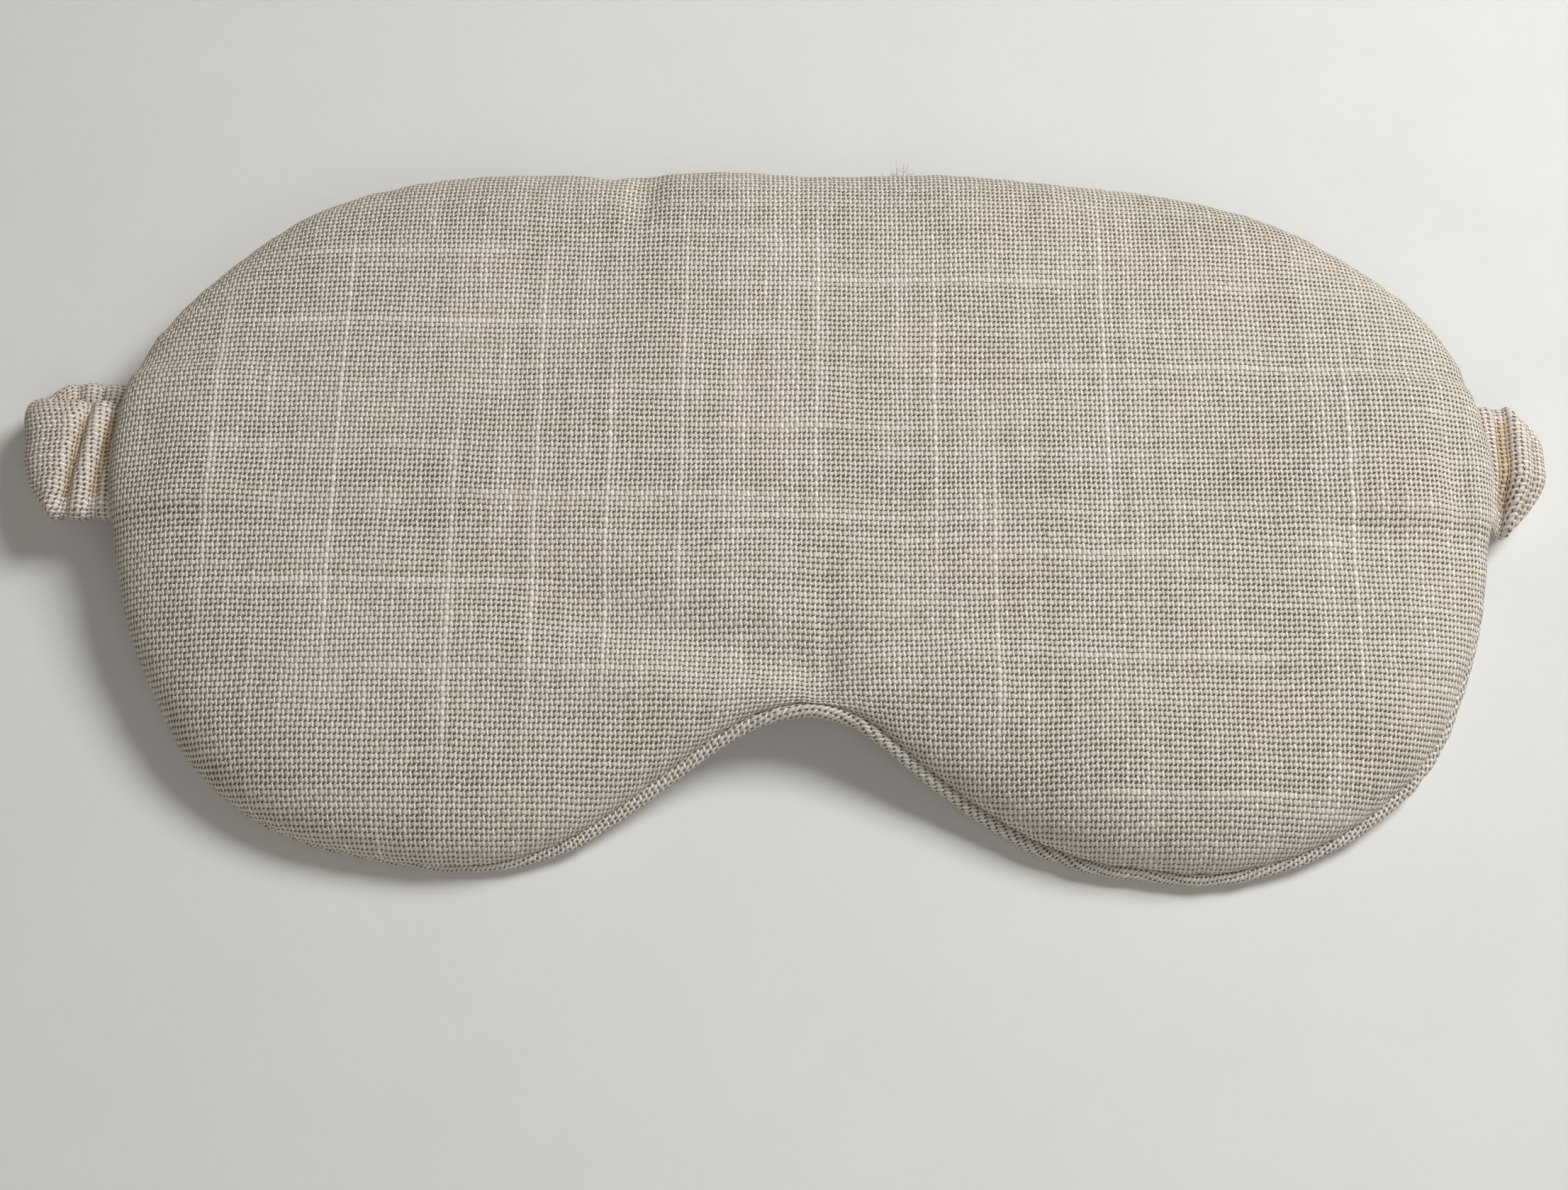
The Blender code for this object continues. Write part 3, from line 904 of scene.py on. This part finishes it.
def yarn_height(g, offset, half, along, over):
    """Height of a round yarn that rises over and dips under, and about -2.5 beside it."""
    ratio = g.math("DIVIDE", offset, half)
    inside = g.math("SUBTRACT", 1.0, g.times(ratio, ratio))
    rounding = g.math("SQRT", g.math("MAXIMUM", inside, 0.0))
    lift = g.times(over, g.math("COSINE", g.times(along, math.pi)))
    top = g.madd(rounding, 0.55, g.times(lift, 0.45))
    beside = g.math("LESS_THAN", inside, 0.0)
    return g.madd(beside, -2.5, top)


def weave(g, slubs, seed, gap_shade):
    """Plain weave: returns place in the flat, height, tone with painted shade and highlight, and 1
    in holes and on warp yarns.
    """
    flat = g.add("UVMap", uv_map="flat")
    u, v, _ = g.add("SeparateXYZ", inputs={"Vector": flat}).node.outputs[:3]
    slow = g.split(g.noise(flat, 0.045, 2.0, output="Color"))
    fast = g.split(g.noise(flat, 0.55, 1.0, output="Color"))
    i, x = crossing(g, u, WARP_PITCH, slow[0], fast[0])
    j, y = crossing(g, v, WEFT_PITCH, slow[1], fast[1])
    bead = {"Vector": g.vector(i, j, seed)}
    bead_any = g.split(g.add("TexWhiteNoise", 1, bead, noise_dimensions="3D"))
    warp_any, warp_streak, warp_slub = yarns(g, i, v, seed + 0.37, 3.71, slubs[0], WARP_PITCH)
    weft_any, weft_streak, weft_slub = yarns(g, j, u, seed + 91.7, 3.37, slubs[1], WEFT_PITCH)

    closed = g.vary(slow[2], 0.08, 0.0)
    closed = g.vary(fast[2], 0.05, closed)
    closed = g.madd(g.math("MAXIMUM", warp_slub, weft_slub), 0.05, closed)
    warp_half = half_width(g, WARP_HALF, warp_any[0], bead_any[0], warp_slub, warp_streak, closed)
    weft_half = half_width(g, WEFT_HALF, weft_any[0], bead_any[1], weft_slub, weft_streak, closed)
    parity = g.math("FLOORED_MODULO", g.math("ADD", i, j), 2.0)
    warp_over = g.madd(parity, -2.0, 1.0)
    weft_over = g.madd(parity, 2.0, -1.0)
    twisted_x = g.madd(y, YARN_SLANT, x)
    warp_height = yarn_height(g, twisted_x, warp_half, y, warp_over)
    weft_height = yarn_height(g, y, weft_half, x, weft_over)
    warp_height = g.madd(warp_slub, 0.08, warp_height)
    weft_height = g.madd(weft_slub, 0.10, weft_height)
    top = g.math("MAXIMUM", g.math("MAXIMUM", warp_height, weft_height), -0.95)
    is_warp = g.math("GREATER_THAN", warp_height, weft_height)
    # Where painted shade goes in the holes between the yarns: 1 deep in a hole.
    hole_shade = g.ramp(top, -0.50, -0.85)

    fibre = g.noise(flat, 6.5, 2.0, 0.6)
    yarn_tone = g.add("Mix", inputs={0: is_warp, 2: weft_any[1], 3: warp_any[1]})
    streak = g.add("Mix", inputs={0: is_warp, 2: weft_streak, 3: warp_streak})
    tone = 1.0
    for value, amount in ((bead_any[2], 0.10), (yarn_tone, 0.10), (streak, 0.09), (fibre, 0.18)):
        tone = g.vary(value, amount, tone)
    # Painted highlight on the warp yarns.
    tone = g.madd(is_warp, WARP_HIGHLIGHT, tone)
    slub_any = g.times(g.math("MAXIMUM", warp_slub, weft_slub), g.ramp(top, 0.2, 0.8))
    tone = g.madd(slub_any, 0.03, tone)
    # Painted shade darkens the yarns' sides and the gaps between them, and a painted highlight
    # lightens their crowns.
    tone = g.times(tone, g.ramp(top, -0.50, 0.88, gap_shade, 1.16))
    return flat, g.madd(fibre, 0.12, top), tone, hole_shade, is_warp


def linen(name, colour, seed, gap_shade, slubs=(WARP_SLUBS, WEFT_SLUBS), with_groove_shade=False):
    """Plain-weave linen, darkened between yarns by painted shade as far as its gap value says, and
    given painted warm shade in the gathers' grooves if asked.
    """
    g = Graph(name)
    flat, height, tone, hole_shade, is_warp = weave(g, slubs, seed, gap_shade)
    patches = g.noise(flat, 0.036, 3.0, 0.55)
    green, pink, highlighted = (
        tuple(c * k for c, k in zip(colour, factors))
        for factors in ((0.983, 1.0, 0.984), (1.015, 0.994, 0.985), (1.15, 1.15, 1.15))
    )
    tinted = g.mix(g.ramp(patches, 0.36, 0.66), green, pink)
    # Painted highlight: the warp yarns are drawn in a paler colour.
    tinted = g.mix(g.times(is_warp, 0.45), tinted, highlighted)
    # The painted shade is tinted brown where the tone is low, and the painted highlights are kept
    # neutral.
    warm_shade = g.vector(tone, g.math("POWER", tone, 1.03), g.math("POWER", tone, 1.30))
    toned = g.mix(1.0, tinted, warm_shade, "MULTIPLY")
    # Painted shade fills the holes between the yarns.
    toned = g.mix(g.times(hole_shade, 0.92), toned, HOLE_SHADE)
    # Painted warm shade, deepest in the grooves between the gathers.
    if with_groove_shade:
        depth = g.add("Attribute", "Fac", attribute_name="painted_groove_shade")
        golden_shade = g.mix(1.0, toned, GROOVE_SHADE_TINT, "MULTIPLY")
        toned = g.mix(g.ramp(depth, 0.20, 0.85), toned, golden_shade)
    g.set(Base_Color=toned, Roughness=g.ramp(height, -0.9, 0.9, 0.97, 0.78))
    g.bump(height, WEAVE_RELIEF, 1.0)
    g.set(Sheen_Weight=0.2, Sheen_Roughness=0.45, Specular_IOR_Level=0.3)
    return g.material


def fibrous(name, colour, scale, tone, distance, roughness=0.9):
    """Batting, thread and floor: one colour, broken up by fibres."""
    g = Graph(name)
    place = g.add("TexCoord", "Object")
    fine = g.noise(place, scale, 4.0, 0.62, dimensions="3D")
    shade = g.ramp(fine, 0.25, 0.75, 1.0 - tone, 1.0 + tone)
    toned = g.mix(1.0, colour, g.vector(shade, shade, shade), "MULTIPLY")
    g.set(Base_Color=toned, Roughness=g.ramp(fine, 0.2, 0.8, roughness, roughness - 0.12))
    g.bump(fine, distance, 0.6)
    g.set(Sheen_Weight=0.15, Specular_IOR_Level=0.25)
    return g.material


def twisted(name, colour, twist):
    """Sewing thread and elastic: fine diagonal ridges along the flat coordinates."""
    g = Graph(name)
    flat = g.add("UVMap", uv_map="flat")
    u, v, _ = g.add("SeparateXYZ", inputs={"Vector": flat}).node.outputs[:3]
    slant = g.madd(v, 6.28 / twist, g.times(u, 6.28 / twist))
    wave = g.madd(g.math("SINE", slant), 0.5, 0.5)
    # Painted shade in the twist's grooves and painted highlight on its ridges.
    shade = g.madd(wave, 0.3, 0.75)
    toned = g.mix(1.0, colour, g.vector(shade, shade, shade), "MULTIPLY")
    g.set(Base_Color=toned, Roughness=g.madd(wave, -0.15, 0.75))
    g.bump(wave, 0.00004, 0.7)
    return g.material


# ---- loose fibres

def fibre_curves(name, starts, ways, lengths, radius, seed, curl):
    """Short loose fibres as one curve object."""
    rng = np.random.default_rng(seed)
    curve = bpy.data.curves.new(name, "CURVE")
    curve.dimensions = "3D"
    curve.bevel_depth = radius
    curve.bevel_resolution = 0
    curve.use_fill_caps = True
    for start, way, length in zip(starts, ways, lengths):
        points, at, heading = [start], np.array(start), np.array(way, float)
        for _ in range(FIBRE_STEPS):
            heading = heading + rng.normal(0, curl, 3)
            heading /= np.linalg.norm(heading)
            at = at + heading * length / FIBRE_STEPS
            points.append(at)
        spline = curve.splines.new("POLY")
        spline.points.add(len(points) - 1)
        for k, (point, co) in enumerate(zip(spline.points, points)):
            point.co = (*co, 1)
            point.radius = 1 - 0.5 * k / FIBRE_STEPS
    return new_object(name, curve)


def make_fuzz(cover, count, seed):
    """Fibres standing off the front cover, half of them along its edge."""
    rng = np.random.default_rng(seed)
    starts, ways, lengths = [], [], []
    rings = cover.rings
    for k in range(count):
        low, high = (EDGE_RING, len(rings) - 2) if k % 2 else (EDGE_RING - 3, EDGE_RING + 4)
        ring = int(rng.integers(low, high))
        i = int(rng.integers(0, POINTS))
        here = rings[ring, i]
        along = rings[ring, (i + 1) % POINTS] - here
        up = rings[min(ring + 1, len(rings) - 1), i] - here
        out = np.cross(along, up)
        out = out / (np.linalg.norm(out) + 1e-12)
        lay = along / (np.linalg.norm(along) + 1e-12) * rng.normal(0, 1)
        starts.append(here - out * 0.05 * MM)
        ways.append(out * rng.uniform(0.25, 1.0) + lay * 0.6)
        lengths.append(rng.uniform(0.5, 1.5) * MM)
    return fibre_curves("linen_fuzz", starts, ways, lengths, FUZZ_RADIUS, seed + 1, 0.45)


def make_tuft(cover, seed):
    """The frayed yarn ends that stick out of the top edge where the gap was sewn up."""
    rng = np.random.default_rng(seed)
    x = (closing_low.x + closing_high.x) / 2
    ring = cover.rings[EDGE_RING - 1]
    near = np.where(ring[:, 1] > 0, np.abs(ring[:, 0] - x), 1)
    base = ring[near.argmin()]
    starts = []
    for _ in range(TUFT_COUNT):
        aside = rng.normal(0, 1.3 * MM)
        starts.append(base + np.array([aside, -0.2 * MM, rng.uniform(-0.3, 0.6) * MM]))
    ways = [np.array([rng.normal(0, 0.9), 1.0, rng.uniform(0.0, 0.8)]) for _ in starts]
    lengths = [rng.uniform(1.2, 3.4) * MM for _ in starts]
    return fibre_curves("frayed_yarn_ends", starts, ways, lengths, TUFT_RADIUS, seed + 1, 0.55)


# ---- stitches

def seam_thread(name, side, cover):
    """A lockstitch thread on the outside of the turned-in allowances, dipping at every stitch."""
    depth = cover.offset + LOCKSTITCH_INSET
    points = OUTLINE + INWARD * depth[:, None]
    dip = 0.5 + 0.5 * np.cos(ALONG * 2 * math.pi / LOCKSTITCH)
    height = SEAM_GAP + CLOTH + THREAD_RADIUS * 1.1 - 0.25 * MM * dip ** 4
    z = seam_height(points) + side * (parting(points) + height)
    return thread(name, np.column_stack([points, z]), THREAD_RADIUS * 0.85, closed=True)


def slip_stitches():
    """Slip stitches from lip to lip over the gap that the mask was turned out through."""
    top = np.where(OUTLINE[:, 1] > 0)[0]
    order = top[np.argsort(OUTLINE[top, 0])]
    path = []
    for k, x in enumerate(np.arange(closing_low.x, closing_high.x, 0.5 * MM)):
        y = np.interp(x, OUTLINE[order, 0], OUTLINE[order, 1])
        cross = math.sin(k * math.pi / 4)
        path.append((x, y + 0.02 * MM - 0.25 * MM * cross**2, TOP_Z + 0.75 * MM * cross))
    return thread("slip_stitches", path, THREAD_RADIUS * 0.8)


# ---- putting it together

front = Cover(1)
back = Cover(-1)

front_linen = linen("front_linen_cloth", LINEN, 0.0, 0.39)
back_linen = linen("back_linen_cloth", BACK_LINEN, 13.0, 0.45)
strap_linen = linen("strap_linen_cloth", STRAP_LINEN, 29.0, 0.55, slubs=((), ()), with_groove_shade=True)
batting = fibrous("white_batting", (0.86, 0.86, 0.84), 900.0, 0.08, 0.0004, 0.95)
sewing_thread = twisted("sewing_thread", THREAD_COLOUR, 0.45)
elastic_weave = twisted("elastic_weave", (0.80, 0.79, 0.75), 1.1)
loose_linen = fibrous("loose_linen_fibres", (0.74, 0.68, 0.58), 2500.0, 0.15, 0.00001)


def finish_piece(obj, material, body, slot, *nodes):
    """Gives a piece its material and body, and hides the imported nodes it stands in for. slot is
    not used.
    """
    obj.data.materials.clear()
    obj.data.materials.append(material)
    if body:
        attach(obj, body)
    if nodes:
        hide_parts(*nodes)


front_cover = make_cover("front_cover", front)
finish_piece(front_cover, front_linen, "pad", "front_linen", "front_panel")
back_cover = make_cover("back_cover", back)
finish_piece(back_cover, back_linen, "pad", "back_linen", "back_panel")
front_filling = make_filling("front_filling", front)
finish_piece(front_filling, batting, "pad", "wadding", "front_wadding")
back_filling = make_filling("back_filling", back)
finish_piece(back_filling, batting, "pad", "wadding", "back_wadding")

for name, side, node in (
    ("seam_upper_thread", 1, "seam_needle_thread"),
    ("seam_lower_thread", -1, "seam_bobbin_thread"),
):
    finish_piece(seam_thread(name, side, front), sewing_thread, "pad", "thread", node)
finish_piece(slip_stitches(), sewing_thread, "pad", "thread", "closing_stitches")
for node in ("left_anchor_stitches", "right_anchor_stitches"):
    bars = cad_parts[node]
    bars.data.materials.clear()
    bars.data.materials.append(fibrous(node + "_thread", THREAD_COLOUR, 4000.0, 0.12, 0.00002))

finish_piece(make_fuzz(front, FUZZ_COUNT, 81), loose_linen, "pad", "front_linen")
finish_piece(make_tuft(front, 91), loose_linen, "pad", "front_linen")

for side, word in ((-1, "left"), (1, "right")):
    half = StrapHalf(side)
    casing, cut_size = make_strap_half("strap_" + word, half)
    finish_piece(casing, strap_linen, None, "strap_linen", "strap_casing")
    band = make_elastic_half("elastic_" + word, half)
    finish_piece(band, elastic_weave, None, "elastic", "elastic_band")
    s = np.arange(0, half.length, 0.65 * MM)
    wave = CASING_STITCH_DIP * np.sin(s * 2 * math.pi / CASING_STITCH)
    path = half.place(s, np.full(len(s), CASING_SEAM_Y), wave)
    seam = thread("casing_thread_" + word, path, THREAD_RADIUS * 0.85)
    finish_piece(seam, sewing_thread, None, "thread", "casing_seam_thread")
    for piece in (casing, band, seam):
        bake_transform(piece)


# ---- stage

def make_floor():
    mesh = bpy.data.meshes.new("floor")
    a = FLOOR_HALF_SIDE
    mesh.from_pydata([(-a, -a, 0), (a, -a, 0), (a, a, 0), (-a, a, 0)], [], [(0, 1, 2, 3)])
    floor = new_object("floor", mesh)
    pale = fibrous("pale_floor", (0.82, 0.822, 0.810), 40.0, 0.012, 0.0002, 0.85)
    floor.data.materials.append(pale)


def add_light(name, place, size, power, colour):
    """A round area light, in metres and watts, that faces the mask."""
    lamp = bpy.data.lights.new(name, "AREA")
    lamp.shape, lamp.size, lamp.energy, lamp.color = "DISK", size, power, colour
    obj = new_object(name, lamp)
    obj.location = place
    obj.rotation_mode = "QUATERNION"
    obj.rotation_quaternion = (-obj.location).to_track_quat("-Z", "Y")


def make_light():
    world = bpy.data.worlds.new("soft_daylight")
    world.use_nodes = True
    sky = world.node_tree.nodes["Background"]
    sky.inputs["Color"].default_value = (1.0, 0.92, 0.80, 1)
    sky.inputs["Strength"].default_value = 0.135
    bpy.context.scene.world = world
    add_light("window", (0.42, 0.25, 0.59), 0.32, 4.5, (0.985, 0.99, 0.985))
    add_light("room", (0.1, -0.75, 0.95), 1.0, 2.6, (0.99, 0.97, 0.95))
    bpy.context.scene.view_settings.view_transform = "Standard"


def make_camera():
    """Above the mask, tipped towards its lower edge, with the lens of the framing."""
    look, distance, lens = Vector((0.0001, -0.0138, 0.008)), 0.36, 54.85
    tip, roll = math.radians(21.5), math.radians(0.6)
    data = bpy.data.cameras.new("camera")
    data.sensor_width, data.lens, data.clip_start = 36, lens, 0.01
    place = look + distance * Vector((0, -math.sin(tip), math.cos(tip)))
    turn = Matrix.Rotation(tip, 4, "X") @ Matrix.Rotation(roll, 4, "Z")
    camera = new_object("camera", data)
    camera.matrix_world = Matrix.Translation(place) @ turn
    bpy.context.scene.camera = camera


make_floor()
make_light()
make_camera()
